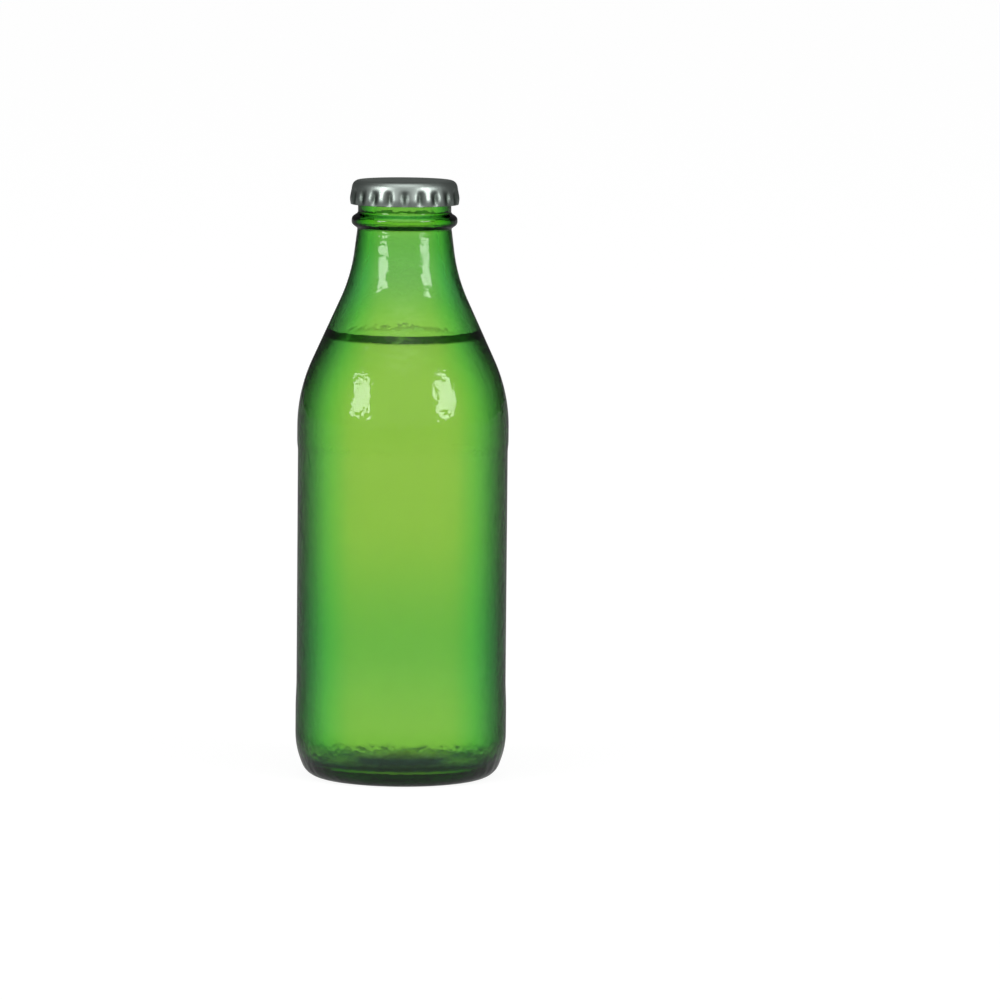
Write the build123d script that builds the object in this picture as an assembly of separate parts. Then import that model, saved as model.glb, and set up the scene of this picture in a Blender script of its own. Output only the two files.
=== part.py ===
from build123d import *
import os
from math import asin, atan2, cos, hypot, pi, sin, tan

# A small green glass bottle, filled and closed with a crimped crown cap.
# The origin is the centre of the base, on the table, and +Z runs up the bottle.

# The bore that the drink is poured through
throat_radius = 8.0
throat_below_bead = 3.0
throat_round = 20.0

# The crown finish, the moulded top that the cap grips, stacked up from its bead.
# Each radius steps out or in from the one below it, starting from the bore.
finish_wall = 4.16
bead_height = 4.0
bead_proud = 1.64
bead_slope = 0.5
bead_round = 1.4
bead_root_round = 0.5
lock_neck_height = 2.55
lock_root_round = 0.9
lock_slope_height = 1.55
lock_proud = 1.14
lock_land_height = 1.0
lock_round = 0.45
lip_rise = 2.55
lip_step = 1.4
lip_outer_round = 1.8
lip_inner_round = 1.2

# The neck and the shoulder
neck_widening = 0.11
neck_rise = 12.55
neck_root_widening = 1.59
neck_root_round = 43.5
shoulder_rise = 30.25
shoulder_round = 42.0

# The crown cap, pressed from thin tinned steel and crimped round the bottle's ring
tin_thickness = 0.24
cap_height = 6.3
cap_corner_round = 1.9
cap_flat_step = 1.45
lock_clearance = 0.09
flute_depth = 0.72
flute_count = 21
flute_steps = 8
corner_turns = 4
skirt_drops = 5

# The liner inside the cap: a thin panel with a thicker sealing ring
seal_thickness = 0.66
panel_thickness = 0.32
seal_width = 3.9
seal_slope = 0.9
liner_edge_drop = 0.5
liner_overlap = 0.65

# The body: a label panel between two slightly prouder bands
body_height = 101.1
body_radius = 27.45
band_proud = 0.2
band_ramp = 1.5
heel_band_height = 11.25
shoulder_band_height = 13.1

# The heel and the base, stepping in from the band to the foot, the bearing ring and the
# push-up that makes the middle of the base hollow
heel_rise = 7.75
heel_run = 3.0
heel_round = 20.0
foot_round = 5.1
ring_run = 5.4
ring_round = 1.0
push_up = 4.2
push_up_run = 4.1
push_up_fall = 0.9
push_up_round = 6.0

# The glass walls
wall = 2.8
root_wall = 3.1
base_wall = 3.7
heel_wall_rise = 4.4
heel_wall_inset = 2.8
heel_hollow_rise = 6.0
heel_hollow_round = 5.0
heel_side_round = 8.0

# How far up the drink stands
fill_height = 116.6

# How far the shape that hollows the cap runs past the cap's foot
overrun = 2.0

# Heights worked out from the stack
neck_root_height = body_height + shoulder_rise
bead_foot = neck_root_height + neck_rise
bead_top = bead_foot + bead_height
lock_foot = bead_top + lock_neck_height
lock_low = lock_foot + lock_slope_height
lock_high = lock_low + lock_land_height
lip_height = lock_high + lip_rise
cap_top = lip_height + seal_thickness + tin_thickness
cap_foot = cap_top - cap_height

# Radii worked out from what they meet
lock_neck_radius = throat_radius + finish_wall
lock_radius = lock_neck_radius + lock_proud
bead_radius = lock_neck_radius + bead_proud
lip_radius = lock_radius - lip_step
neck_radius = lock_neck_radius + neck_widening
neck_root_radius = neck_radius + neck_root_widening
cap_valley_radius = lock_radius + lock_clearance + tin_thickness
cap_radius = cap_valley_radius + flute_depth
cap_flat_radius = lock_radius - cap_flat_step
band_radius = body_radius + band_proud
cavity_radius = body_radius - wall
foot_radius = band_radius - heel_run
ring_radius = foot_radius - ring_run
shoulder_lean = atan2(band_radius - neck_root_radius, shoulder_rise)


def turned(points, rounds):
    """Turn an outline, which starts and ends on the axis, into a solid."""
    with BuildPart() as solid:
        with BuildSketch(Plane.XZ):
            with BuildLine():
                outline = FilletPolyline(*points, radius=rounds)
                Line(outline @ 1, outline @ 0)
            make_face()
        revolve(axis=Axis.Z)
    return solid.part


def corners(*rows):
    """Split rows of radius, height and rounding into points and roundings."""
    points = [(radius, height) for radius, height, _ in rows]
    rounds = [rounding for _, _, rounding in rows]
    return points, rounds


# The outside of the glass, from the middle of the push-up round to the lip
def glass_outside():
    panel_foot = heel_rise + heel_band_height
    panel_top = body_height - shoulder_band_height
    points, rounds = corners(
        (0, push_up, 0),
        (ring_radius - push_up_run, push_up - push_up_fall, push_up_round),
        (ring_radius, 0, ring_round),
        (foot_radius, 0, foot_round),
        (band_radius, heel_rise, heel_round),
        (band_radius, panel_foot, 0),
        (body_radius, panel_foot + band_ramp, 0),
        (body_radius, panel_top - band_ramp, 0),
        (band_radius, panel_top, 0),
        (band_radius, body_height, shoulder_round),
        (neck_root_radius, neck_root_height, neck_root_round),
        (neck_radius, bead_foot, bead_root_round),
        (bead_radius, bead_foot + bead_slope, bead_round),
        (bead_radius, bead_top - bead_slope, bead_round),
        (lock_neck_radius, bead_top, bead_root_round),
        (lock_neck_radius, lock_foot, lock_root_round),
        (lock_radius, lock_low, lock_round),
        (lock_radius, lock_high, lock_round),
        (lip_radius, lip_height, lip_outer_round),
    )
    return points, rounds


# The hollow of the bottle, from the middle of the floor up to the lip
def glass_inside():
    points, rounds = corners(
        (0, push_up + base_wall, 0),
        (foot_radius - heel_wall_inset, heel_wall_rise, heel_hollow_round),
        (cavity_radius, heel_wall_rise + heel_hollow_rise, heel_side_round),
        (cavity_radius, body_height - wall * tan(shoulder_lean / 2), shoulder_round - wall),
        (
            neck_root_radius - root_wall,
            neck_root_height - root_wall * tan(shoulder_lean / 2),
            neck_root_round + root_wall,
        ),
        (throat_radius, bead_foot - throat_below_bead, throat_round),
        (throat_radius, lip_height, lip_inner_round),
    )
    return points, rounds


# The glass bottle, one moulded piece with an even wall and a thick base
def make_glass():
    outer_points, outer_rounds = glass_outside()
    inner_points, inner_rounds = glass_inside()
    points = outer_points + inner_points[::-1]
    rounds = outer_rounds[1:] + inner_rounds[:0:-1]
    return turned(points, rounds)


# The drink, which fills the hollow exactly up to its level
def make_drink():
    points, rounds = glass_inside()
    hollow = turned(points + [(0, lip_height)], rounds[1:-1] + [0])
    return split(hollow, bisect_by=Plane.XY.offset(fill_height), keep=Keep.BOTTOM)


# One level of the cap's form: a circle with its valleys pressed in to a smaller radius
def fluted_level(radius, valley_radius, height):
    steps = flute_steps * flute_count
    depth = max(radius - valley_radius, 0)
    points = []
    for step in range(steps):
        angle = 2 * pi * step / steps
        reach = radius - depth * (1 + cos(flute_count * angle)) / 2
        points.append(Vector(reach * sin(angle), -reach * cos(angle), height))
    return Face(Wire([Edge.make_spline(points, periodic=True)]))


# The cap's outside, or its inside where the form is drawn in by the sheet's thickness.
# The skirt leans out from the rounded corner, and its valleys stand upright, just clear
# of the widest ring of the glass.
def cap_form(inset, foot):
    valley_radius = cap_valley_radius - inset
    corner_height = cap_top - cap_corner_round
    side_drop = corner_height - cap_foot
    side_run = cap_radius - cap_flat_radius
    side_reach = hypot(side_drop, side_run)
    lean = atan2(side_run, side_drop) - asin(cap_corner_round / side_reach)
    corner = cap_corner_round - inset
    levels = []
    for turn in range(corner_turns + 1):
        bend = pi / 2 - (pi / 2 - lean) * turn / corner_turns
        radius = cap_flat_radius + corner * cos(bend)
        levels.append(fluted_level(radius, valley_radius, corner_height + corner * sin(bend)))
    side_height = corner_height + corner * sin(lean)
    side_radius = cap_flat_radius + corner * cos(lean)
    for drop in range(1, skirt_drops + 1):
        down = (side_height - foot) * drop / skirt_drops
        levels.append(fluted_level(side_radius + down * tan(lean), valley_radius, side_height - down))
    return loft(levels)


# The steel shell of the cap, an even sheet pressed into flutes
def make_cap_shell():
    return cap_form(0, cap_foot) - cap_form(tin_thickness, cap_foot - overrun)


# The liner, seated against the shell's flat and on the glass lip
def make_liner():
    ceiling = cap_top - tin_thickness
    edge_radius = cap_flat_radius + liner_overlap
    seal_radius = edge_radius - seal_width
    points = [
        (0, ceiling),
        (cap_flat_radius, ceiling),
        (edge_radius, ceiling - liner_edge_drop),
        (edge_radius, lip_height),
        (seal_radius, lip_height),
        (seal_radius - seal_slope, ceiling - panel_thickness),
        (0, ceiling - panel_thickness),
    ]
    return turned(points, [0] * (len(points) - 2))


pieces = {
    "glass_bottle": make_glass(),
    "drink": make_drink(),
    "cap_shell": make_cap_shell(),
    "cap_liner": make_liner(),
}

for name, piece in pieces.items():
    export_step(piece, f"parts/{name}.step")
    print(name, round(piece.volume, 1), "cubic millimetres")
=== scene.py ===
# %% [markdown]
# # A small green glass bottle, filled and closed with a crimped cap
# The real object is four pieces: a moulded green glass bottle, the drink that fills it, a
# steel cap crimped round its mouth, and the soft liner inside that cap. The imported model
# holds their sizes and how the cap comes off. This file gives each piece its surface.
# Loading comes first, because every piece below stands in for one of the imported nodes.

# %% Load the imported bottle
from math import asin, atan2, ceil, cos, hypot, pi, radians, sin, tan

import bmesh
import bpy
import numpy as np
from mathutils import Matrix, Vector


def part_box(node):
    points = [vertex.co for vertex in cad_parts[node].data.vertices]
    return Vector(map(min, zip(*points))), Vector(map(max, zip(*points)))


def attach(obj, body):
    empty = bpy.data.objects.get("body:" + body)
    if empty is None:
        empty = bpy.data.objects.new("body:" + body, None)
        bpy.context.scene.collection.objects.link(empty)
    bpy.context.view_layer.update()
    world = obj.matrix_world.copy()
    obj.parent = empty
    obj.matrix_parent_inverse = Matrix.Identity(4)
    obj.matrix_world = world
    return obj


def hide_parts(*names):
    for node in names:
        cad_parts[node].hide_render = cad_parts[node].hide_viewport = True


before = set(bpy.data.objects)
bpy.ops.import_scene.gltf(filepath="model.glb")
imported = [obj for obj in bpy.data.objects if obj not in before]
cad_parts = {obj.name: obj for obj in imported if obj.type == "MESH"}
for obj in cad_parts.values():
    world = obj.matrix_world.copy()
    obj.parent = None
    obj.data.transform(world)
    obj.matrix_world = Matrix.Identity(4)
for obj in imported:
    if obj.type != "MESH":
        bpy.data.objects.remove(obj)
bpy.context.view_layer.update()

glass_low, glass_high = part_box("glass_bottle")
_, drink_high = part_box("drink")
cap_low, cap_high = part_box("cap_shell")
MM = 0.001

# %% [markdown]
# ## How a bottle is drawn
# A bottle is a body of revolution, so its shape is one outline turned round the middle
# line. Glass has no sharp corners, because molten glass pulls itself round, so each corner
# of the outline has a radius of its own. A Screw or Bevel modifier could do both, but then
# the radii couldn't differ and the wall couldn't wander, so the outline is worked out here.

# %% Round the corners of an outline
bend_step = radians(7)
merge_share = 0.02


def rounded(corners, step):
    """Points along an outline of (radius, height, rounding) corners, about a step apart."""
    places = [Vector((radius, height)) for radius, height, _ in corners]
    points = [places[0]]
    for before, here, after, (_, _, rounding) in zip(places, places[1:], places[2:], corners[1:]):
        arrive, leave = (here - before).normalized(), (after - here).normalized()
        turn = atan2(arrive.x * leave.y - arrive.y * leave.x, arrive.dot(leave))
        start = here - arrive * rounding * tan(abs(turn) / 2)
        to_centre = Vector((-arrive.y, arrive.x)) * rounding * (1 if turn > 0 else -1)
        count = max(1, ceil(abs(turn) * rounding / step), ceil(abs(turn) / bend_step))
        for share in np.linspace(0, 1, count + 1):
            spoke = Matrix.Rotation(turn * share, 2) @ -to_centre
            points.append(start + to_centre + spoke)
    points.append(places[-1])
    return divided(points, step)


def divided(points, step):
    """The same outline with its long runs cut into pieces of about a step."""
    dense = [points[0]]
    for point in points[1:]:
        run = (point - dense[-1]).length
        if run < step * merge_share:
            continue
        count = max(1, ceil(run / step))
        dense += [dense[-1].lerp(point, (i + 1) / count) for i in range(count)]
    return np.array(dense)


print("corners are rounded in bends of", round(bend_step * 180 / pi), "degrees at most")

# %% [markdown]
# ## A lathe for every piece
# The outline is turned into a closed mesh by one function, which every piece uses. It takes
# an optional shaping function that may move each point, so the same lathe can also press
# flutes into the cap or marks into the foot. The outline runs from the middle line, out and
# up the outside, and back to the middle line, which makes every face look outwards. Only
# edges as sharp as the rim of a sheet stay sharp, and the rest is shaded smooth.

# %% Turn an outline into a mesh
sharp_corner = radians(40)


def turned(name, outline, turns, shape=None):
    """A closed mesh of the outline turned round Z, with one vertex at each pole."""
    angle = np.linspace(0, 2 * pi, turns, endpoint=False)
    ring = outline[1:-1]
    radius = np.repeat(ring[:, :1], turns, axis=1)
    height = np.repeat(ring[:, 1:], turns, axis=1)
    if shape:
        radius, height = shape(radius, height, angle[None, :], ring)
    rows = np.stack([radius * np.sin(angle), -radius * np.cos(angle), height], axis=-1)
    poles = [(0, 0, outline[0][1]), (0, 0, outline[-1][1])]
    vertices = np.concatenate([rows.reshape(-1, 3), poles])
    first, last = len(vertices) - 2, len(vertices) - 1
    top = (len(ring) - 1) * turns
    faces = []
    for k in range(turns):
        n = (k + 1) % turns
        faces.append((first, n, k))
        faces.append((last, top + k, top + n))
        for i in range(len(ring) - 1):
            low, high = i * turns, (i + 1) * turns
            faces.append((low + k, low + n, high + n, high + k))
    mesh = bpy.data.meshes.new(name)
    mesh.from_pydata(vertices.tolist(), [], faces)
    mesh.polygons.foreach_set("use_smooth", [True] * len(faces))
    mesh.update()
    mesh.set_sharp_from_angle(angle=sharp_corner)
    piece = bpy.data.objects.new(name, mesh)
    bpy.context.scene.collection.objects.link(piece)
    print(name, len(vertices), "vertices,", len(faces), "faces")
    return piece


print("edges over", round(sharp_corner * 180 / pi), "degrees stay sharp")

# %% [markdown]
# ## The glass bottle
# Moulded glass is even on the outside, where the iron mould presses it, and slightly uneven
# on the inside, where only air does. The outline below is the mould's: a hollow base, a
# bearing ring, a rounded heel, two bands a hair prouder than the label panel, a shoulder,
# a neck and the finish that the cap grips. A sculpted mesh could follow the photograph too,
# but an outline keeps the sizes plain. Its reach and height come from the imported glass.

# %% The sizes of the glass
lip_height = glass_high.z
band_radius = min(glass_high.x, glass_high.y, -glass_low.x, -glass_low.y)
body_radius = band_radius - 0.2 * MM
body_height = 101.1 * MM
neck_root_height = body_height + 30.25 * MM
bead_foot = neck_root_height + 12.55 * MM
bead_top = bead_foot + 4.0 * MM
lock_foot = bead_top + 2.55 * MM
lock_low = lock_foot + 1.55 * MM
lock_high = lock_low + 1.0 * MM

throat_radius = 8.0 * MM
lock_neck_radius = throat_radius + 4.16 * MM
lock_radius = lock_neck_radius + 1.14 * MM
bead_radius = lock_neck_radius + 1.64 * MM
bead_slope = 1.1 * MM
lip_radius = lock_radius - 1.4 * MM
neck_radius = lock_neck_radius + 0.11 * MM
neck_root_radius = neck_radius + 1.59 * MM

heel_rise = 7.75 * MM
foot_radius = band_radius - 3.0 * MM
ring_radius = foot_radius - 5.4 * MM
push_up = 4.2 * MM
panel_foot = heel_rise + 11.25 * MM
panel_top = body_height - 13.1 * MM
band_ramp = 2.0 * MM
heel_ramp = 5.5 * MM
shoulder_round = 42.0 * MM
neck_round = 43.5 * MM
print("glass", round(lip_height / MM, 1), "mm tall and", round(2 * band_radius / MM, 1), "mm wide")

# %% [markdown]
# Each corner of the mould's outline is a radius, a height and how much it is rounded. They
# run from the middle of the base, out over the bearing ring and up to the lip.

# %% The outside of the glass
outside = [
    (0, push_up, 0),  # middle of the hollow base
    (ring_radius - 4.1 * MM, push_up - 0.9 * MM, 6.0 * MM),  # edge of the hollow base
    (ring_radius, 0, 1.0 * MM),  # bearing ring, inner edge
    (foot_radius, 0, 5.1 * MM),  # bearing ring, outer edge
    (band_radius, heel_rise, 20.0 * MM),  # heel
    (band_radius, panel_foot, 30.0 * MM),  # lower band
    (body_radius, panel_foot + heel_ramp, 30.0 * MM),  # foot of the label panel
    (body_radius, panel_top - band_ramp, 8.0 * MM),  # head of the label panel
    (band_radius, panel_top, 8.0 * MM),  # upper band
    (band_radius, body_height, shoulder_round),  # shoulder
    (neck_root_radius, neck_root_height, neck_round),  # root of the neck
    (neck_radius, bead_foot, 0.5 * MM),  # under the bead
    (bead_radius, bead_foot + bead_slope, 1.3 * MM),  # bead, low
    (bead_radius, bead_top - bead_slope, 1.3 * MM),  # bead, high
    (lock_neck_radius, bead_top, 0.8 * MM),  # over the bead
    (lock_neck_radius, lock_foot, 0.9 * MM),  # under the locking ring
    (lock_radius, lock_low, 0.45 * MM),  # locking ring, low
    (lock_radius, lock_high, 0.45 * MM),  # locking ring, high
    (lip_radius, lip_height, 1.8 * MM),  # lip
]
print("outside corners:", len(outside), "from foot", round(foot_radius / MM, 2), "mm")

# %% [markdown]
# The hollow has its own outline. Its wall is about 2.8 mm thick on the body and over 4 mm
# at the mouth. Its floor is a low dome, and the most glass lies round the heel, where the
# last of the melt settles. One outline moved inward could stand in for it, but real walls
# aren't even, and the drink needs the hollow's own outline too.

# %% The hollow of the glass
wall = 2.8 * MM
root_wall = 2.7 * MM
neck_wall = 3.1 * MM
base_wall = 2.6 * MM
floor_edge = 3.2 * MM
cavity_radius = body_radius - wall
shoulder_lean = atan2(band_radius - neck_root_radius, neck_root_height - body_height)
lean_share = tan(shoulder_lean / 2)
shoulder_inside = body_height - wall * lean_share
root_inside = neck_root_height - root_wall * lean_share

hollow = [
    (0, push_up + base_wall, 0),  # middle of the floor
    (14.0 * MM, push_up + base_wall - 1.5 * MM, 60.0 * MM),  # the floor's dome
    (foot_radius - 3.1 * MM, floor_edge, 4.5 * MM),  # edge of the floor
    (cavity_radius, floor_edge + 7.2 * MM, 8.0 * MM),  # inside the heel
    (cavity_radius, shoulder_inside, shoulder_round - wall),  # inside the shoulder
    (neck_root_radius - root_wall, root_inside, neck_round + root_wall),  # inside the neck's root
    (neck_radius - neck_wall, bead_foot - 5.0 * MM, 6.0 * MM),  # inside the neck
    (throat_radius, bead_foot + 3.0 * MM, 6.0 * MM),  # foot of the throat
    (throat_radius, lip_height, 1.2 * MM),  # mouth
]
print("wall of the body", round(wall / MM, 1), "mm, of the floor", round(base_wall / MM, 1), "mm")

# %% [markdown]
# Held to a window, the inside of a real bottle wanders: a few slow, shallow waves run round
# and along it, which make the green look faintly mottled. A noise texture could bend the
# light without moving the wall, but real waves show from every side and stay in the mesh,
# so a handful of seeded sine waves move the inner wall by a few hundredths of a millimetre.
# Near the lip, where a plunger shapes the throat, the wall stays true.

# %% The wandering inner wall
wave_seed = 7
wave_count = 9
most_round = 8
slowest, quickest = 40, 260  # radians for each metre of height
rng = np.random.default_rng(wave_seed)
waves = [
    (
        int(rng.integers(1, most_round + 1)),
        rng.uniform(slowest, quickest),
        rng.uniform(0, 2 * pi),
        rng.uniform(0, 2 * pi),
    )
    for _ in range(wave_count)
]
wander_depth = 0.04 * MM
true_reach = 6 * MM


def wander(height, angle):
    """How far the inner wall stands off its outline at each height and angle."""
    total = sum(
        np.sin(around * angle + along * height + phase) * np.cos(along * height + start)
        for around, along, phase, start in waves
    )
    fade = np.clip((lip_height - height) / true_reach - 1, 0, 1)
    return total * wander_depth * fade / wave_count**0.5


print("inner wall wanders by about", wander_depth / MM, "mm")

# %% [markdown]
# The heel carries forty crescent marks, which keep the hot glass off the belt on small
# points. They show as a row of faint light and dark streaks, so they are cut into the mesh.
# Forty separate cutters could do it, but a cosine round the heel makes the row in one go,
# and a lean with the height turns each mark into a crescent.

# %% The crescent marks of the foot
mark_count = 40
mark_depth = 0.1 * MM
mark_middle = 3.6 * MM
mark_reach = 3.0 * MM
mark_lean = 0.9


def foot_marks(radius, height, angle):
    """How far the heel is pressed in at each place."""
    across = np.clip((height - mark_middle) / mark_reach, -1, 1)
    row = 0.5 + 0.5 * np.cos(mark_count * angle + mark_lean * across**2)
    return mark_depth * row**2 * (1 - across**2) ** 2 * (radius > ring_radius)


print(mark_count, "marks,", round(mark_depth / MM, 2), "mm deep")

# %% [markdown]
# The outside and the hollow meet at the lip and make one closed outline, so the glass is one
# solid with a real wall. A Solidify modifier would give a wall too, but an even one. The
# lathe takes six steps for each crescent mark, so that the marks keep their shape.

# %% Build the glass
steps_per_mark = 6
glass_turns = steps_per_mark * mark_count
glass_step = 1.25 * MM
outside_points = rounded(outside + [(throat_radius, lip_height, 0)], glass_step)[:-1]
inside_points = rounded(hollow + [(lip_radius, lip_height, 0)], glass_step)[:-1]


def glass_shape(radius, height, angle, ring):
    """The inner wall wanders, and the heel has its marks."""
    inner = (np.arange(len(ring)) >= len(outside_points) - 1)[:, None]
    radius = radius + wander(height, angle) * inner * (radius > throat_radius / 2)
    return radius - foot_marks(radius, height, angle) * ~inner, height


glass_outline = np.concatenate([outside_points, inside_points[::-1]])
bottle_glass = turned("bottle_glass", glass_outline, glass_turns, glass_shape)

# %% [markdown]
# ## The drink
# The drink fills the hollow to the shoulder, and its surface is flat. It could be the space
# inside the glass with air between them, but light only bends rightly where the drink and
# the glass share a surface: a gap of air there would shine like silver. So the drink follows
# the same wall, drawn a hair into the glass. Its top few rings stand at set heights, since
# the dark line round a full bottle is coloured on them later.

# %% Build the drink
fill_height = drink_high.z
soak = 0.06 * MM
rim_height = fill_height - 0.05 * MM
line_width = 2.4 * MM
line_steps = 4
line_gap = line_width / 4
surface_rings = 24
upper_wall = inside_points[np.argmax(inside_points[:, 0]):]
line_heights = np.linspace(rim_height - line_width, rim_height, line_steps + 1)
line_wall = np.stack([np.interp(line_heights, upper_wall[:, 1], upper_wall[:, 0]), line_heights], axis=1)
wetted = np.concatenate([inside_points[inside_points[:, 1] < line_heights[0] - line_gap], line_wall])
along = np.gradient(wetted, axis=0)
along /= np.linalg.norm(along, axis=1)[:, None]
wetted = wetted + np.stack([along[:, 1], -along[:, 0]], axis=1) * soak
wetted[0][0] = 0
edge_radius = wetted[-1][0]
surface_reach = edge_radius * np.linspace(1, 0, surface_rings)[1:]
surface = np.stack([surface_reach, np.full(len(surface_reach), rim_height)], axis=1)
drink_outline = np.concatenate([wetted, surface])


def drink_shape(radius, height, angle, ring):
    """The side wanders with the glass, and the surface follows it at its edge."""
    along_wall = (np.arange(len(ring)) < len(wetted) - 1)[:, None]
    wall_move = wander(height, angle) * (radius > throat_radius / 2)
    surface_move = wander(rim_height, angle) * radius / edge_radius
    return radius + np.where(along_wall, wall_move, surface_move), height


drink_fill = turned("drink_fill", drink_outline, glass_turns, drink_shape)

# %% [markdown]
# ## The steel cap
# A cap starts as a flat disc of tinned steel. The press draws its edge down into a skirt,
# and the spare metal folds into twenty-one flutes, which the crimper then closes round the
# ring of the glass. So the top is round and smooth, and the flutes deepen down the skirt.
# A lattice or a row of copied flutes could give them, but a lathe whose rings ease from a
# circle to a wave keeps the sheet whole. The plain outline comes first.

# %% The cap's outline
cap_top, cap_foot = cap_high.z, cap_low.z
cap_reach = 14.35 * MM
flute_count = 21
flute_turns = 18 * flute_count
sheet = 0.24 * MM
corner_round = 1.9 * MM
belly_round = 4.0 * MM
flat_radius = lock_radius - 1.45 * MM
valley_radius = lock_radius + 0.09 * MM + sheet
corner_height = cap_top - corner_round
curl = 0.34 * MM
foot_draw_in = 0.2 * MM
widest_height = cap_foot + 1.5 * MM
cap_step = 0.35 * MM
corner_points, curl_points, panel_rings = 12, 9, 9


def cap_side(inset):
    """The cap's corner and skirt, from the foot up to the flat, drawn in by an inset."""
    corner = corner_round - inset
    drop, run = corner_height - widest_height, cap_reach - flat_radius
    lean = atan2(run, drop) - asin(corner_round / hypot(drop, run))
    bends = np.linspace(lean, pi / 2, corner_points)
    arc = [(flat_radius + corner * cos(b), corner_height + corner * sin(b)) for b in bends]
    foot = (cap_reach - foot_draw_in - inset, cap_foot + curl)
    wide = (cap_reach - inset, widest_height)
    side = rounded([(*foot, 0), (*wide, belly_round), (*arc[0], 0)], cap_step)
    return np.concatenate([side, arc[1:]])


outer_side, inner_side = cap_side(0), cap_side(sheet)
curl_bends = np.linspace(pi, 2 * pi, curl_points)[1:-1]
curl_middle = (outer_side[0] + inner_side[0]) / 2
curl_line = [curl_middle + np.array([cos(b) * sheet / 2, sin(b) * curl]) for b in curl_bends]
panel_shares = np.linspace(0, 1, panel_rings)
under_panel = np.stack([inner_side[-1][0] * panel_shares, np.full(panel_rings, inner_side[-1][1])], axis=1)
top_panel = np.stack([outer_side[-1][0] * panel_shares, np.full(panel_rings, cap_top)], axis=1)
print("cap", round((cap_top - cap_foot) / MM, 1), "mm tall, of", round(sheet / MM, 2), "mm sheet")

# %% [markdown]
# The flutes are pressed where each ring of the skirt stands outside of the circle that the
# crimper closes on. They start under the corner, deepen down the skirt, and flare a little
# at the foot, where the real edge springs back.

# %% Press the flutes and build the cap
flute_top = cap_foot + 4.5 * MM
flute_start = 1.3 * MM
flare_height, flare_reach, flare_ease = 2.4 * MM, 0.44 * MM, 1.4
valley_ease = 1.8


def fluted(radius, height, angle, ring):
    """Every ring drawn in to the valleys, wherever it stands outside of them."""
    inner_rings = len(under_panel) + len(inner_side) - 2
    inset = np.where(np.arange(len(ring)) < inner_rings, sheet, 0)[:, None]
    flare = np.clip((cap_foot + flare_height - height) / flare_height, 0, 1) ** flare_ease * flare_reach
    valley = valley_radius - inset + flare
    start = np.clip((flute_top - height) / flute_start, 0, 1)
    depth = np.clip(radius - valley, 0, None) * start * start * (3 - 2 * start)
    wave = ((1 + np.cos(flute_count * angle)) / 2) ** valley_ease
    return radius - depth * wave, height


cap_outline = np.concatenate(
    [under_panel[:-1], inner_side[::-1], curl_line, outer_side, top_panel[::-1][1:]]
)
crown_cap = turned("crown_cap", cap_outline, flute_turns, fluted)

# %% [markdown]
# The folds between the flutes get a painted shade, so the steel needs to know where they
# are. Ambient occlusion could find them, but it costs many rays and also darkens steel that
# only stands close to the glass. Each point's distance inside the unpressed side tells the
# folds apart just as well, and is kept on the mesh.

# %% Mark the folds of the cap
fold_ease = 0.5
points = np.array([vertex.co for vertex in crown_cap.data.vertices])
ridge = np.interp(points[:, 2], outer_side[:, 1], outer_side[:, 0])
fold = np.clip((ridge - np.hypot(points[:, 0], points[:, 1])) / (cap_reach - valley_radius), 0, 1)
fold = np.where(points[:, 2] < flute_top, fold**fold_ease, 0)
crown_cap.data.attributes.new("fold", "FLOAT", "POINT").data.foreach_set("value", fold)
print("folds on", int((fold > 0).sum()), "points of", crown_cap.name)

# %% [markdown]
# ## The liner
# Inside the cap sits a moulded disc of soft compound: a thin sheet in the middle, and a
# thick ring that the lip of the glass presses into. It only shows when the cap is off. A
# plain disc would fill the cap too, but the groove between the ring and the middle is what
# one sees in a real one, so it is turned with its own outline.

# %% Build the liner
ceiling = cap_top - sheet
liner_edge = flat_radius + 0.65 * MM
ring_inner = liner_edge - 3.9 * MM
panel_face = ceiling - 0.32 * MM
liner_turns, liner_step = 160, 0.5 * MM
liner_corners = [
    (0, panel_face, 0),  # middle of the thin sheet
    (ring_inner - 2.4 * MM, panel_face, 0.6 * MM),  # groove, inner edge
    (ring_inner - 1.7 * MM, panel_face + 0.12 * MM, 0.5 * MM),  # groove, deepest
    (ring_inner - 0.9 * MM, panel_face, 0.4 * MM),  # groove, outer edge
    (ring_inner, lip_height, 0.5 * MM),  # sealing ring, inner edge
    (liner_edge, lip_height, 0.2 * MM),  # sealing ring, outer edge
    (liner_edge, ceiling - 0.5 * MM, 0.1 * MM),  # outer edge, high
    (flat_radius, ceiling, 0.1 * MM),  # against the steel, edge
    (0, ceiling, 0),  # against the steel, middle
]
cap_seal = turned("cap_seal", rounded(liner_corners, liner_step), liner_turns)

# %% [markdown]
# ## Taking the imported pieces' places
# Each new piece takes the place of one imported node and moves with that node's body, so the
# drink stays in the bottle, and the liner comes off with the cap.

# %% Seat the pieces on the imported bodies
for piece, node, body, slot in [
    (bottle_glass, "glass_bottle", "bottle", "green_glass"),
    (drink_fill, "drink", "bottle", "clear_drink"),
    (crown_cap, "cap_shell", "cap", "tinned_steel"),
    (cap_seal, "cap_liner", "cap", "liner_compound"),
]:
    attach(piece, body)
    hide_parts(node)
    print(piece.name, "stands for", node, "on", body)

# %% [markdown]
# ## Short words for nodes
# A material in Blender is a tree of nodes, and building one by hand takes many lines that
# say little. These helpers each make one kind of node, set or link what it needs, and hand
# back what comes out of it, so the materials below can be read like sentences.

# %% Small helpers for nodes
def feed(tree, socket, value):
    """A socket linked to another node's output, or given a plain value."""
    if isinstance(value, bpy.types.NodeSocket):
        tree.links.new(value, socket)
    else:
        socket.default_value = value


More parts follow.
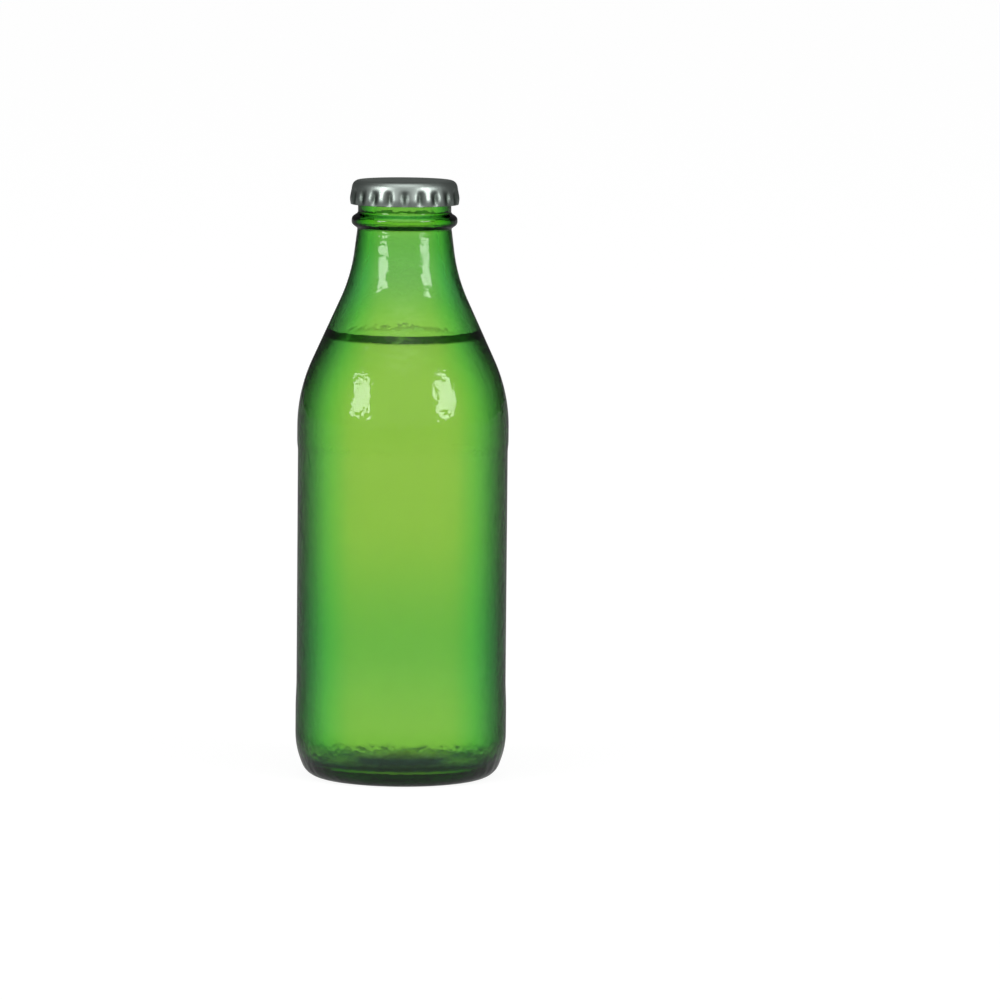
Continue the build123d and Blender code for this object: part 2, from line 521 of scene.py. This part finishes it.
def add(tree, kind, **inputs):
    """A node of a kind, with its named inputs set or linked."""
    made = tree.nodes.new(kind)
    for name, value in inputs.items():
        feed(tree, made.inputs[name.replace("_", " ")], value)
    return made


def calculate(tree, operation, first, second, clamp=False):
    """What comes of two numbers."""
    made = tree.nodes.new("ShaderNodeMath")
    made.operation, made.use_clamp = operation, clamp
    feed(tree, made.inputs[0], first)
    feed(tree, made.inputs[1], second)
    return made.outputs["Value"]


def with_vectors(tree, operation, first, second=None):
    """A node that works on one or two vectors."""
    made = tree.nodes.new("ShaderNodeVectorMath")
    made.operation = operation
    feed(tree, made.inputs[0], first)
    if second is not None:
        feed(tree, made.inputs[1], second)
    return made


def ranged(tree, value, start, end, low=0.0, high=1.0):
    """A value that goes from low to high while another goes from its start to its end."""
    made = add(tree, "ShaderNodeMapRange", Value=value, From_Min=start, From_Max=end)
    made.inputs["To Min"].default_value = low
    made.inputs["To Max"].default_value = high
    return made.outputs["Result"]


print("helpers for numbers are ready")

# %% [markdown]
# Colours and materials need a few more. A Mix node can mix numbers too, so it takes the kind
# of its inputs, and a ramp takes its list of places and colours in one go.

# %% Helpers for colours and materials
def mixed(tree, share, first, second, kind="RGBA", blend="MIX"):
    """Two colours or numbers mixed by a share."""
    made = tree.nodes.new("ShaderNodeMix")
    made.data_type, made.blend_type = kind, blend
    feed(tree, made.inputs["Factor"], share)
    feed(tree, made.inputs["A"], first)
    feed(tree, made.inputs["B"], second)
    return made.outputs["Result"]


def ramp(tree, value, shades, interpolation="LINEAR"):
    """A colour that follows a value through a list of places and colours."""
    made = add(tree, "ShaderNodeValToRGB", Fac=value)
    made.color_ramp.interpolation = interpolation
    stops = made.color_ramp.elements
    stops[0].position, stops[0].color = shades[0]
    stops[1].position, stops[1].color = shades[-1]
    for position, shade in shades[1:-1]:
        stops.new(position).color = shade
    return made.outputs["Color"]


def painted(tree, name):
    """A value that is kept on the points of the mesh."""
    made = tree.nodes.new("ShaderNodeAttribute")
    made.attribute_name = name
    return made.outputs["Fac"]


def new_material(name):
    """A node material, its tree and its Principled shader."""
    material = bpy.data.materials.new(name)
    material.use_nodes = True
    tree = material.node_tree
    return material, tree, tree.nodes["Principled BSDF"]


print("helpers for materials are ready")

# %% [markdown]
# ## Effects that the finishes share
# No surface is perfectly even. Two effects repeat on these pieces: slow ripples from
# moulding or pressing, and fine marks from handling. Copying their nodes into every material
# would work, but then a change has to be made many times. So each is a node group, built
# once, with sockets for what differs from piece to piece.

# %% Helpers for groups
def group_of(name, sockets_in, sockets_out):
    """A node group with named number sockets going in, and the given ones coming out."""
    tree = bpy.data.node_groups.new(name, "ShaderNodeTree")
    for socket, value in sockets_in.items():
        made = tree.interface.new_socket(socket, in_out="INPUT", socket_type="NodeSocketFloat")
        made.default_value = value
    for socket, kind in sockets_out.items():
        tree.interface.new_socket(socket, in_out="OUTPUT", socket_type=kind)
    return tree, tree.nodes.new("NodeGroupInput"), tree.nodes.new("NodeGroupOutput")


def placed(tree, group, **inputs):
    """A node group placed in a material, with its own values."""
    made = tree.nodes.new("ShaderNodeGroup")
    made.node_tree = group
    for name, value in inputs.items():
        made.inputs[name.replace("_", " ")].default_value = value
    return made


print("helpers for groups are ready")

# %% [markdown]
# Ripples are what a cooling skin of glass, or a pressed sheet, keeps of its making. They
# could be painted, but noise in the piece's own space has no seam and goes all the way
# round. One noise is too regular for them, so a slow one and a finer one are mixed.

# %% The ripple group
fine_ratio = 3.7
ripple, given, result = group_of(
    "ripple", {"Ripples per Metre": 200.0, "Fine Share": 0.3}, {"Height": "NodeSocketFloat"}
)
place = add(ripple, "ShaderNodeTexCoord").outputs["Object"]
slow_scale = given.outputs["Ripples per Metre"]
fine_scale = calculate(ripple, "MULTIPLY", slow_scale, fine_ratio)
slow = add(ripple, "ShaderNodeTexNoise", Vector=place, Scale=slow_scale, Detail=2.0, Roughness=0.5)
fine = add(ripple, "ShaderNodeTexNoise", Vector=place, Scale=fine_scale, Detail=1.0, Roughness=0.5)
height = mixed(ripple, given.outputs["Fine Share"], slow.outputs["Fac"], fine.outputs["Fac"], "FLOAT")
feed(ripple, result.inputs["Height"], height)
print("group", ripple.name, "with", len(ripple.nodes), "nodes")

# %% [markdown]
# Handling leaves fine streaks, and more of them in some places than in others. A single
# noise would spread them evenly, so a stretched noise gives the streaks, a slow one gives
# the patches, and their product is the mask. It comes out beside the roughness, because
# steel and compound also change their colour where they were handled.

# %% The handling marks group
patches_per_metre = 90.0
mask_start, mask_end = 0.26, 0.42
marks, given, result = group_of(
    "handling marks",
    {"Marks per Metre": 900.0, "Stretch": 12.0, "Clean": 0.04, "Marked": 0.2},
    {"Roughness": "NodeSocketFloat", "Mask": "NodeSocketFloat"},
)
place = add(marks, "ShaderNodeTexCoord").outputs["Object"]
squeeze = add(marks, "ShaderNodeCombineXYZ", X=1.0, Y=1.0, Z=given.outputs["Stretch"])
stretched = with_vectors(marks, "MULTIPLY", place, squeeze.outputs["Vector"]).outputs["Vector"]
streaks = add(marks, "ShaderNodeTexNoise", Vector=stretched, Detail=3.0, Roughness=0.6)
feed(marks, streaks.inputs["Scale"], given.outputs["Marks per Metre"])
patches = add(marks, "ShaderNodeTexNoise", Vector=place, Scale=patches_per_metre, Detail=2.0)
both = calculate(marks, "MULTIPLY", streaks.outputs["Fac"], patches.outputs["Fac"])
mask = ranged(marks, both, mask_start, mask_end)
level = mixed(marks, mask, given.outputs["Clean"], given.outputs["Marked"], "FLOAT")
feed(marks, result.inputs["Roughness"], level)
feed(marks, result.inputs["Mask"], mask)
print("group", marks.name, "with", len(marks.nodes), "nodes")

# %% [markdown]
# ## The green glass
# The green of a bottle is in the glass, not on it, so it deepens with the length of glass
# that the light crosses. A green Base Color alone would tint thick and thin glass alike, so
# a Volume Absorption takes most of the red and nearly all of the blue on the way.

# %% The body of the glass
glass, glass_tree, glass_shader = new_material("green bottle glass")
glass_shader.inputs["Transmission Weight"].default_value = 1.0
glass_shader.inputs["IOR"].default_value = 1.52
glass_shader.inputs["Specular IOR Level"].default_value = 1.0
absorption = add(glass_tree, "ShaderNodeVolumeAbsorption", Color=(0.645, 0.872, 0.34, 1), Density=500.0)
glass_output = glass_tree.nodes["Material Output"]
glass_tree.links.new(absorption.outputs["Volume"], glass_output.inputs["Volume"])
bottle_glass.data.materials.append(glass)
print(glass.name, "on", bottle_glass.name)

# %% [markdown]
# Seen edge-on, a full bottle turns dark, since its sides bend the light away from the bright
# background and into the dark room around it. A pale studio on all sides would hide this,
# and a darker room would spoil the white background. So the tint of the outer skin falls off
# with Layer Weight, first through a bluer green and then to nearly black, which holds from
# every side. Each shade below stands at how far edge-on the skin is seen.

# %% The tint from face-on to edge-on
outer_shades = [
    (0.0, (0.97, 0.99, 0.7, 1)),
    (0.07, (1.0, 1.0, 0.74, 1)),
    (0.134, (0.92, 0.985, 0.77, 1)),
    (0.2, (0.6, 0.93, 0.8, 1)),
    (0.25, (0.43, 0.89, 0.82, 1)),
    (0.306, (0.27, 0.74, 0.82, 1)),
    (0.362, (0.19, 0.53, 0.82, 1)),
    (0.428, (0.1, 0.3, 0.6, 1)),
    (0.49, (0.07, 0.18, 0.52, 1)),
    (0.564, (0.04, 0.085, 0.31, 1)),
    (0.632, (0.02, 0.035, 0.14, 1)),
    (1.0, (0.004, 0.006, 0.01, 1)),
]
facing = add(glass_tree, "ShaderNodeLayerWeight", Blend=0.5).outputs["Facing"]
edge_tint = ramp(glass_tree, facing, outer_shades)
print("outer skin goes through", len(outer_shades), "shades")

# %% [markdown]
# The base looks nearly black, because most of the light that comes up through it has crossed
# the thick floor from the dark table, so that shade is painted into the glass's tint there. A
# material can't tell floor from wall by itself, so each ring of the lathe says which it is: the
# outer skin, the floor, the inside of the heel, or the band of the outside just over the heel.
# A second material would do the same, but two absorbing materials on one closed mesh render
# black. The masks ease in over a few rings, because a hard edge would show as a jagged line
# through the ripples.

# %% Mark the skin, the floor and the heel
floor_reach, heel_reach = 20.6 * MM, 6.5 * MM
floor_fade, heel_fade = 2.6 * MM, 1.2 * MM
band_low, band_high, band_fade = 5.5 * MM, 9.1 * MM, 0.7 * MM


def paint_rings(piece, name, shares, turns):
    """A named value on a turned piece: one share for each ring, and the end ones for its poles."""
    value = np.append(np.repeat(shares, turns), [shares[0], shares[-1]])
    piece.data.attributes.new(name, "FLOAT", "POINT").data.foreach_set("value", value)
    print(name, "on", int((value > 0).sum()), "points of", piece.name)


def eased(value, start, end):
    """A share that eases from none at the start to one at the end."""
    share = np.clip((value - start) / (end - start), 0, 1)
    return share * share * (3 - 2 * share)


reach, rise = glass_outline[1:-1].T
outer = np.arange(len(reach)) < len(outside_points) - 1
in_foot = ~outer & (rise < body_height / 2)
off_floor = eased(reach, floor_reach, floor_reach + floor_fade)
off_heel = off_floor * eased(rise, heel_reach - heel_fade, heel_reach + heel_fade)
over_low = eased(rise, band_low - band_fade, band_low + band_fade)
over_high = eased(rise, band_high - band_fade, band_high + band_fade)
paint_rings(bottle_glass, "outer skin", outer.astype(float), glass_turns)
paint_rings(bottle_glass, "floor", np.where(in_foot, 1 - off_floor, 0), glass_turns)
paint_rings(bottle_glass, "heel", np.where(in_foot, 1 - off_heel, 0), glass_turns)
on_band = np.where(outer & (reach > floor_reach), over_low * (1 - over_high), 0)
paint_rings(bottle_glass, "heel band", on_band, glass_turns)

# %% [markdown]
# The floor gets its painted shade for light from both sides. The inside of the heel gets it only
# for light that leaves the glass there, and the band over the heel only on the near side, so that
# the far side of the base doesn't count twice. Backfacing tells the two sides of a face apart.

# %% The painted shade of the floor and the heel
# painted shade: the dark table under the base, laid on the floor and heel of the glass
floor_shade = (0.01, 0.018, 1.0, 1)
heel_shades = [
    (0.0, (0.05, 0.05, 1.0, 1)),
    (0.13, (0.05, 0.05, 1.0, 1)),
    (0.24, (0.4, 0.5, 0.95, 1)),
    (0.4, (0.3, 0.4, 0.8, 1)),
    (0.6, (0.05, 0.08, 0.26, 1)),
    (1.0, (0.004, 0.006, 0.01, 1)),
]
clear_white = (1.0, 1.0, 1.0, 1)
leaving = add(glass_tree, "ShaderNodeNewGeometry").outputs["Backfacing"]
heel_leaving = calculate(glass_tree, "MULTIPLY", painted(glass_tree, "heel"), leaving)
inside_shade_mask = calculate(glass_tree, "MAXIMUM", painted(glass_tree, "floor"), heel_leaving)
inner_tint = mixed(glass_tree, inside_shade_mask, clear_white, floor_shade)
near_band = calculate(glass_tree, "SUBTRACT", painted(glass_tree, "heel band"), leaving, clamp=True)
outer_tint = mixed(glass_tree, near_band, edge_tint, ramp(glass_tree, facing, heel_shades))
skin = painted(glass_tree, "outer skin")
skin_tint = mixed(glass_tree, skin, inner_tint, outer_tint)
print("heel goes through", len(heel_shades), "shades")

# %% [markdown]
# The green also drifts with the height: yellower in the upper body, bluer a quarter of the
# way up and in the neck, and paler in the bead. In the photograph this comes from the room
# that shows through the bottle. A gradient texture could give it, but a ramp on the point's
# own height holds from every side and moves with the bottle. Light crosses the skin and the
# inner wall, so it counts twice.

# %% The drift of the green with the height
tones = [
    (0.0, (0.9, 0.96, 0.95, 1)),
    (0.12, (0.88, 0.96, 0.92, 1)),
    (0.22, (0.64, 0.87, 0.78, 1)),
    (0.32, (0.8, 0.92, 0.8, 1)),
    (0.42, (0.94, 0.95, 0.8, 1)),
    (0.74, (1.0, 0.99, 0.9, 1)),
    (0.79, (0.74, 0.9, 0.7, 1)),
    (0.84, (0.72, 0.86, 1.0, 1)),
    (0.915, (0.68, 0.85, 1.0, 1)),
    (0.93, (1.0, 1.0, 1.0, 1)),
    (0.94, (1.0, 1.0, 1.0, 1)),
    (0.955, (0.8, 0.87, 1.0, 1)),
    (1.0, (0.8, 0.87, 1.0, 1)),
]
tone, given, result = group_of("tone by height", {"Height of Piece": 0.15}, {"Color": "NodeSocketColor"})
place = add(tone, "ShaderNodeTexCoord").outputs["Object"]
height = add(tone, "ShaderNodeSeparateXYZ", Vector=place).outputs["Z"]
share = calculate(tone, "DIVIDE", height, given.outputs["Height of Piece"])
feed(tone, result.inputs["Color"], ramp(tone, share, tones, "B_SPLINE"))

drift = placed(glass_tree, tone, Height_of_Piece=lip_height).outputs["Color"]
glass_tint = mixed(glass_tree, 1.0, skin_tint, drift, blend="MULTIPLY")
feed(glass_tree, glass_shader.inputs["Base Color"], glass_tint)
print("group", tone.name, "with", len(tones), "tones")

# %% [markdown]
# A mould's skin isn't a mirror: soft, slow ripples break up the patches of light on the
# shoulder and the neck, and a fine haze blurs them. They could be waves in the mesh, like
# those of the inner wall, but they are too fine for its faces, so a Bump node bends the
# light instead. It acts on the outer skin alone.

# %% The skin of the glass
def roughened(tree, shader, **inputs):
    """The handling marks placed in a material, where they set its roughness."""
    handled = placed(tree, marks, **inputs)
    feed(tree, shader.inputs["Roughness"], handled.outputs["Roughness"])
    return handled.outputs["Mask"]


def bumped(tree, shader, height, strength, distance):
    """A height that bends the light on a surface."""
    bump = add(tree, "ShaderNodeBump", Strength=strength, Distance=distance, Height=height)
    feed(tree, shader.inputs["Normal"], bump.outputs["Normal"])


roughened(glass_tree, glass_shader, Marks_per_Metre=500.0, Stretch=0.3, Clean=0.08, Marked=0.15)
moulded = placed(glass_tree, ripple, Ripples_per_Metre=140.0, Fine_Share=0.32).outputs["Height"]
outside_only = calculate(glass_tree, "MULTIPLY", moulded, skin)
bumped(glass_tree, glass_shader, outside_only, strength=0.36, distance=1.0 * MM)
print("green glass has", len(glass_tree.nodes), "nodes")

# %% [markdown]
# ## The drink's look
# The drink is clear, with a faint straw tint, and it bends light less than glass does. A
# tinted surface would be enough from the front, but the tint belongs to the depth, so it is
# a weak Volume Absorption. Only its tint and its index matter, as it has no detail inside.

# %% Make the drink clear
drink, drink_tree, drink_shader = new_material("clear drink")
drink_shader.inputs["Transmission Weight"].default_value = 1.0
drink_shader.inputs["IOR"].default_value = 1.33
drink_shader.inputs["Roughness"].default_value = 0.0
absorption = add(drink_tree, "ShaderNodeVolumeAbsorption", Color=(0.47, 0.46, 0.3, 1), Density=6.0)
drink_output = drink_tree.nodes["Material Output"]
drink_tree.links.new(absorption.outputs["Volume"], drink_output.inputs["Volume"])
drink_fill.data.materials.append(drink)
print(drink.name, "on", drink_fill.name)

# %% [markdown]
# The line where the drink meets the glass is dark, since the edge of its surface climbs the
# wall and bends light down to the table. A modelled climb shows on the far side too, where
# the real one is lost in the green. So the dark tint lies on the top few rings of the
# drink's side, with uneven depth, and Backfacing leaves it out on the far side.

# %% Darken the line round the drink
line_rows = range(len(wetted) - 1 - line_steps, len(wetted) - 1)
ring_count = len(drink_outline) - 2
line_share = np.isin(np.arange(ring_count), line_rows).astype(float)
paint_rings(drink_fill, "line", line_share, glass_turns)
line_shades = [(0.52, (0.002, 0.015, 0.001, 1)), (0.66, (0.1, 0.25, 0.08, 1))]
side_shade = (1.0, 1.0, 0.97, 1)
leaving = add(drink_tree, "ShaderNodeNewGeometry").outputs["Backfacing"]
near_line = calculate(drink_tree, "SUBTRACT", painted(drink_tree, "line"), leaving, clamp=True)
uneven = placed(drink_tree, ripple, Ripples_per_Metre=110.0, Fine_Share=0.4).outputs["Height"]
line_tint = ramp(drink_tree, uneven, line_shades)
drink_tint = mixed(drink_tree, near_line, side_shade, line_tint)
feed(drink_tree, drink_shader.inputs["Base Color"], drink_tint)
print("line of", len(line_rows), "rings")

# %% [markdown]
# ## The tinned steel
# The cap is bright tinplate under a thin clear lacquer. Rolling leaves fine lines in the
# sheet and pressing leaves slow dents, so the roughness comes from the marks group and the
# bumps from the ripple group. The tin is a touch greyer where it was handled, and the folds
# get a painted shade. One plain grey would pass from afar, but then the flutes lose their depth.

# %% Make the tinned steel
steel, tree, shader = new_material("tinned steel")
shader.inputs["Metallic"].default_value = 1.0
shader.inputs["Coat Weight"].default_value = 0.15
shader.inputs["Coat Roughness"].default_value = 0.25
# the faint green in these tin colours is a painted reflection of the green glass below the cap
bright_tin, handled_tin = (0.5, 0.57, 0.53, 1), (0.38, 0.44, 0.41, 1)
# painted shade in the folds between the flutes
fold_shade_tin = (0.05, 0.075, 0.055, 1)
handled = roughened(tree, shader, Marks_per_Metre=1100.0, Stretch=6.0, Clean=0.41, Marked=0.51)
tin = mixed(tree, handled, bright_tin, handled_tin)
feed(tree, shader.inputs["Base Color"], mixed(tree, painted(tree, "fold"), tin, fold_shade_tin))
pressed = placed(tree, ripple, Ripples_per_Metre=420.0, Fine_Share=0.35).outputs["Height"]
bumped(tree, shader, pressed, strength=0.25, distance=0.2 * MM)
crown_cap.data.materials.append(steel)
print(steel.name, "on", crown_cap.name)

# %% [markdown]
# ## The liner compound
# The liner is a soft, milky compound, moulded in place. It is dull, a little uneven, and
# light passes a short way into it. Plain white would look like paint, so a low subsurface
# weight lets the light in.

# %% Make the liner compound
compound, tree, shader = new_material("liner compound")
shader.inputs["Subsurface Weight"].default_value = 0.25
shader.inputs["Subsurface Radius"].default_value = (0.6 * MM, 0.6 * MM, 0.5 * MM)
milky_clean, milky_handled = (0.74, 0.75, 0.7, 1), (0.62, 0.63, 0.58, 1)
handled = roughened(tree, shader, Marks_per_Metre=700.0, Stretch=1.0, Clean=0.5, Marked=0.68)
feed(tree, shader.inputs["Base Color"], mixed(tree, handled, milky_clean, milky_handled))
moulded = placed(tree, ripple, Ripples_per_Metre=700.0, Fine_Share=0.4).outputs["Height"]
bumped(tree, shader, moulded, strength=0.3, distance=0.2 * MM)
cap_seal.data.materials.append(compound)
print(compound.name, "on", cap_seal.name)

# %% [markdown]
# ## The floor
# The bottle stands on a white sweep with no horizon. It could be a lit white cloth, but then
# it would need so much light that the steel burns out. So the floor glows white to the
# camera and through the glass, and its own soft shading lies on top, so it keeps a faint
# shadow. Nothing lights the patch that the bottle stands on, and it is what makes the thick
# base look dark, so the white fades out under the foot. What the glass and the steel mirror
# of it is a dim pool round the foot.

# %% Lay the floor
sweep_radius = 14.0
bm = bmesh.new()
bmesh.ops.create_circle(bm, cap_ends=True, segments=96, radius=sweep_radius)
floor_mesh = bpy.data.meshes.new("floor")
bm.to_mesh(floor_mesh)
bm.free()
floor = bpy.data.objects.new("floor", floor_mesh)
bpy.context.scene.collection.objects.link(floor)
print("floor of", sweep_radius, "m radius")

# %% [markdown]
# Light Path says what kind of ray asks for the floor's colour, which is how the one floor
# can be white, dim or plain. From below it is clear, so a low camera still sees the foot.

# %% Make the floor white
sweep_white = 0.92
sweep_grey = (0.18, 0.18, 0.18, 1)
dark_reach, white_reach = ring_radius + 2.0 * MM, band_radius + 5.0 * MM
pool_start, pool_end = 1.5 * foot_radius, 3.5 * foot_radius
pool_near, pool_far = 0.3, 0.1
sweep, tree, _ = new_material("white sweep")
tree.nodes.remove(tree.nodes["Principled BSDF"])
rays = add(tree, "ShaderNodeLightPath")
place = add(tree, "ShaderNodeTexCoord").outputs["Object"]
distance = with_vectors(tree, "LENGTH", place).outputs["Value"]
lit = ranged(tree, distance, dark_reach, white_reach)
through = calculate(tree, "MULTIPLY", rays.outputs["Is Transmission Ray"], lit)
pool = ranged(tree, distance, pool_start, pool_end, pool_near, pool_far)
mirrored = calculate(tree, "MULTIPLY", pool, rays.outputs["Is Glossy Ray"])
either = calculate(tree, "MAXIMUM", through, mirrored)
seen = calculate(tree, "MAXIMUM", either, rays.outputs["Is Camera Ray"])
glow = add(tree, "ShaderNodeEmission", Strength=calculate(tree, "MULTIPLY", seen, sweep_white))
shading = add(tree, "ShaderNodeBsdfDiffuse", Color=sweep_grey)
total = tree.nodes.new("ShaderNodeAddShader")
feed(tree, total.inputs[0], glow.outputs["Emission"])
feed(tree, total.inputs[1], shading.outputs["BSDF"])
below = add(tree, "ShaderNodeNewGeometry").outputs["Backfacing"]
side = add(tree, "ShaderNodeMixShader", Fac=below)
feed(tree, side.inputs[1], total.outputs["Shader"])
feed(tree, side.inputs[2], add(tree, "ShaderNodeBsdfTransparent").outputs["BSDF"])
feed(tree, tree.nodes["Material Output"].inputs["Surface"], side.outputs["Shader"])
floor_mesh.materials.append(sweep)
print(sweep.name, "on", floor.name)

# %% [markdown]
# ## The room
# Round the floor is a plain room. The camera and the glass see it as the same white. What
# the shiny surfaces mirror is dimmer, with a pale wall in front and a large bright diffuser
# overhead, and this is what draws the cap's dark corner and its flutes. Walls and a ceiling
# could be built, but the world's background does the same with two soft spots.

# %% Build the room
diffuser_rise, diffuser_edge, diffuser_middle = radians(72), radians(38), radians(12)
wall_edge, wall_middle = radians(80), radians(35)
room_dim, diffuser_bright, wall_bright = 0.05, 1.4, 0.45
world = bpy.data.worlds.new("studio")
bpy.context.scene.world = world
world.use_nodes = True
tree = world.node_tree
rays = add(tree, "ShaderNodeLightPath")
place = add(tree, "ShaderNodeTexCoord").outputs["Generated"]


def bright_toward(direction, edge, middle, bright):
    """A glow that is full within one angle of a direction and gone beyond another."""
    near = with_vectors(tree, "DOT_PRODUCT", place, direction).outputs["Value"]
    return ranged(tree, near, cos(edge), cos(middle), room_dim, bright)


overhead = (0, -cos(diffuser_rise), sin(diffuser_rise))
diffuser = bright_toward(overhead, diffuser_edge, diffuser_middle, diffuser_bright)
front_wall = bright_toward((0, -1, 0), wall_edge, wall_middle, wall_bright)
mirrored = calculate(tree, "MAXIMUM", diffuser, front_wall)
clear = calculate(tree, "MAXIMUM", rays.outputs["Is Camera Ray"], rays.outputs["Is Transmission Ray"])
background = tree.nodes["Background"]
background.inputs["Color"].default_value = clear_white
feed(tree, background.inputs["Strength"], calculate(tree, "MAXIMUM", clear, mirrored))
print("room built with", len(tree.nodes), "nodes")

# %% [markdown]
# ## The lamps
# Two tall soft boxes stand left and right of the camera. Their mirror images are the pale
# patches on the shoulder and the neck, and where those patches lie tells where the lamps
# stood: half way round to each side, and from about ten degrees above the table up to over
# thirty. Spot lamps would give small points, so these are area lamps.

# %% Set up the soft boxes
lamp_distance = 3.0
lamp_angle = radians(50)
lamp_width_angle = radians(20)
lamp_low, lamp_high = radians(10.5), radians(34)
lamp_height = lamp_distance * (tan(lamp_high) - tan(lamp_low))
lamp_middle = lamp_distance * (tan(lamp_high) + tan(lamp_low)) / 2
lamp_radiance = 7.0
for side, lamp_name in ((-1, "left soft box"), (1, "right soft box")):
    light = bpy.data.lights.new(lamp_name, "AREA")
    light.shape = "RECTANGLE"
    light.size = 2 * lamp_distance * tan(lamp_width_angle / 2)
    light.size_y = lamp_height
    light.energy = lamp_radiance * pi * light.size * light.size_y
    lamp = bpy.data.objects.new(lamp_name, light)
    away = Vector((side * sin(lamp_angle), -cos(lamp_angle), 0))
    lamp.location = away * lamp_distance + Vector((0, 0, lamp_middle))
    lamp.rotation_euler = away.to_track_quat("Z", "Y").to_euler()
    lamp.visible_camera = False
    lamp.visible_transmission = False
    bpy.context.scene.collection.objects.link(lamp)
    print(lamp_name, "at", [round(x, 2) for x in lamp.location])

# %% [markdown]
# ## The camera
# The photograph was taken from a little above the bottle with a long lens. The bottle is
# left of the middle and leans by under half a degree. Shifting the lens would frame it too,
# but other views keep a shift, so the camera first looks straight at the middle of the
# bottle, and is then turned until that point falls where it should.

# %% Place the camera
frame_pixels = 1000
sight_pixel = Vector((402.6, 479.6))
sight_height = 78 * MM
camera_distance = 1.8
camera_rise = radians(5.8)
camera_roll = radians(0.44)
focal_pixels = 6916

camera_data = bpy.data.cameras.new("camera")
camera_data.sensor_width = 36
camera_data.lens = focal_pixels / frame_pixels * camera_data.sensor_width
camera = bpy.data.objects.new("camera", camera_data)
bpy.context.scene.collection.objects.link(camera)
bpy.context.scene.camera = camera

sight = Vector((0, 0, sight_height))
camera.location = sight + Vector((0, -camera_distance, camera_distance * tan(camera_rise)))
offset = sight_pixel - Vector((frame_pixels / 2, frame_pixels / 2))
sight_line = Vector((offset.x, -offset.y, -focal_pixels)).normalized()
look = (sight - camera.location).to_track_quat("-Z", "Y").to_matrix()
aside = sight_line.rotation_difference(Vector((0, 0, -1))).to_matrix()
turn = look @ Matrix.Rotation(camera_roll, 3, "Z") @ aside
camera.matrix_world = Matrix.Translation(camera.location) @ turn.to_4x4()
print("lens", round(camera_data.lens, 1), "mm at", [round(x, 3) for x in camera.location])

# %% [markdown]
# ## Finishing
# The Standard view keeps the colours as they are written.

# %% Finish
bpy.context.scene.view_settings.view_transform = "Standard"
